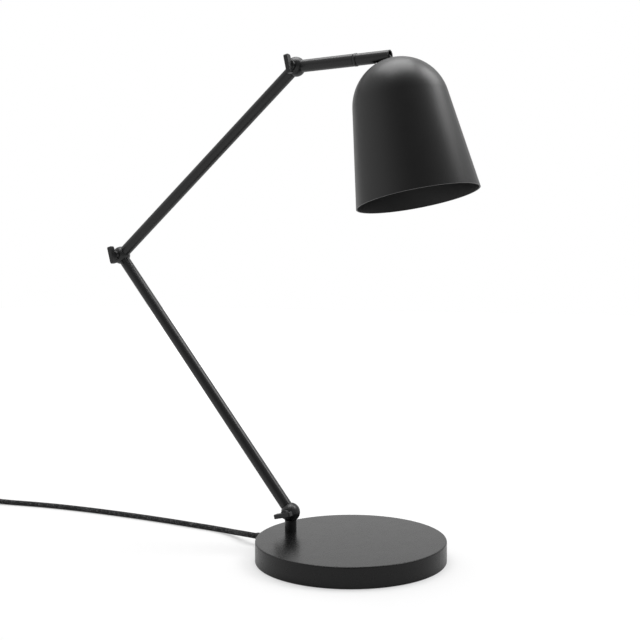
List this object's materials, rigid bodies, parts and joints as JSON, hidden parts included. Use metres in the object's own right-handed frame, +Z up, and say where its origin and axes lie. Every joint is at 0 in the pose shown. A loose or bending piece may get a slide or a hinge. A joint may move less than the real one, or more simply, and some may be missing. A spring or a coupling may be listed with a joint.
{
  "type": "dome shade desk lamp",
  "caption": "Jointed desk lamp with a round weighted base, tube arms joined by ball knuckles with wing keys, and a tilting dome shade open below; braided cord with switch and plug.",
  "frame": {"origin": "centre of the round base's underside, where it rests on the table", "axes": "+Z up; the arms lie in the XZ plane and the shade reaches towards +X; the wing keys point to -Y; the cord leaves towards -X"},
  "size_m": [0.7862, 0.2066, 0.4999],
  "materials": {
    "black_coat_base": "matt black powder coat, fine texture",
    "black_coat_tube": "matt black powder coat, smooth",
    "black_coat_shade": "matt black lacquer, satin sheen",
    "black_coat_knuckle": "matt black, turned metal",
    "black_coat_key": "matt black, cast metal",
    "iron": "as cast",
    "zinc_plate": "rolled sheet",
    "zinc": "zinc plated",
    "spindle_brass": "turned",
    "foot_rubber": "matt foam rubber",
    "relief_rubber": "matt",
    "fibre": "pressed fibre",
    "wire": "wire insulation",
    "cup_plastic": "moulded",
    "holder_plastic": "moulded",
    "bulb_metal": "bright",
    "bulb_glass": "frosted",
    "braid": "braided textile with pale flecks",
    "black_plastic": "moulded, satin",
    "rocker_plastic": "moulded, smooth",
    "pin_nickel": "nickel plated"
  },
  "bodies": {
    "root": {"base_cover": "black_coat_base", "base_weight": "iron", "base_plate": "zinc_plate", "base_pad": "foot_rubber", "base_screws": "zinc", "stem": "black_coat_tube", "stem_nut": "zinc", "stem_washer": "zinc", "strain_relief": "relief_rubber", "cord_clamp": "zinc", "clamp_screws": "zinc", "base_leads": "wire", "lower_far_half": "black_coat_knuckle", "lower_bolt": "zinc", "lower_ring": "fibre", "cord": "braid", "cord_lead": "braid", "cord_coil": "braid", "cord_tail": "braid", "coil_tie": "relief_rubber", "switch_base": "black_plastic", "switch_cover": "black_plastic", "switch_screws": "zinc", "plug_body": "black_plastic", "plug_pins": "pin_nickel"},
    "lower_key_body": {"lower_key": "black_coat_key"},
    "lower_arm": {"lower_near_half": "black_coat_knuckle", "lower_tube": "black_coat_tube", "lower_lead": "wire", "middle_near_half": "black_coat_knuckle"},
    "upper_arm": {"middle_ring": "fibre", "middle_far_half": "black_coat_knuckle", "middle_bolt": "zinc", "upper_tube": "black_coat_tube", "upper_lead": "wire", "top_far_half": "black_coat_knuckle", "top_bolt": "zinc", "top_ring": "fibre"},
    "middle_key_body": {"middle_key": "black_coat_key"},
    "top_key_body": {"top_key": "black_coat_key"},
    "head_arm": {"top_near_half": "black_coat_knuckle", "short_tube": "black_coat_tube", "short_lead": "wire", "swivel_bush": "black_coat_knuckle"},
    "holder": {"swivel_spindle": "spindle_brass", "spindle_clip": "zinc", "holder_tube": "black_coat_tube", "holder_lead": "wire", "hinge_tongue": "black_coat_knuckle"},
    "shade": {"hinge_pin": "zinc", "shade_fork": "black_coat_knuckle", "fork_nut": "zinc", "shade_shell": "black_coat_shade", "lamp_cup": "cup_plastic", "lampholder": "holder_plastic", "bulb_cap": "bulb_metal", "bulb_glass": "bulb_glass"},
    "rocker": {"switch_rocker": "rocker_plastic"}
  },
  "joints": [
    {"name": "lower_hinge", "type": "hinge", "parent": "root", "child": "lower_arm", "pos_m": [-0.0695, 0, 0.0389], "axis": [0, 1, 0], "range_deg": [-30, 55]},
    {"name": "middle_hinge", "type": "hinge", "parent": "lower_arm", "child": "upper_arm", "pos_m": [-0.28812, 0, 0.30411], "axis": [0, 1, 0], "range_deg": [-75, 11]},
    {"name": "top_hinge", "type": "hinge", "parent": "upper_arm", "child": "head_arm", "pos_m": [-0.06171, 0, 0.49008], "axis": [0, 1, 0], "range_deg": [-60, 60]},
    {"name": "head_swivel", "type": "hinge", "parent": "head_arm", "child": "holder", "pos_m": [-0.06171, 0, 0.49008], "axis": [1, 0, 0], "range_deg": [-90, 90]},
    {"name": "shade_tilt", "type": "hinge", "parent": "holder", "child": "shade", "pos_m": [0.04119, 0, 0.48888], "axis": [0, 1, 0], "range_deg": [-55, 15]},
    {"name": "lower_key_turn", "type": "hinge", "parent": "root", "child": "lower_key_body", "pos_m": [-0.0695, -0.018, 0.0389], "axis": [0, -1, 0], "range_deg": [-60, 60]},
    {"name": "middle_key_turn", "type": "hinge", "parent": "upper_arm", "child": "middle_key_body", "pos_m": [-0.28812, 0, 0.30411], "axis": [0, -1, 0], "range_deg": [-60, 60]},
    {"name": "top_key_turn", "type": "hinge", "parent": "upper_arm", "child": "top_key_body", "pos_m": [-0.06171, 0, 0.49008], "axis": [0, -1, 0], "range_deg": [-60, 60]},
    {"name": "switch_rock", "type": "hinge", "parent": "root", "child": "rocker", "pos_m": [-0.54535, -0.00651, 0.0126], "axis": [0.2147, -0.9767, 0], "range_deg": [-16, 0]}
  ]
}
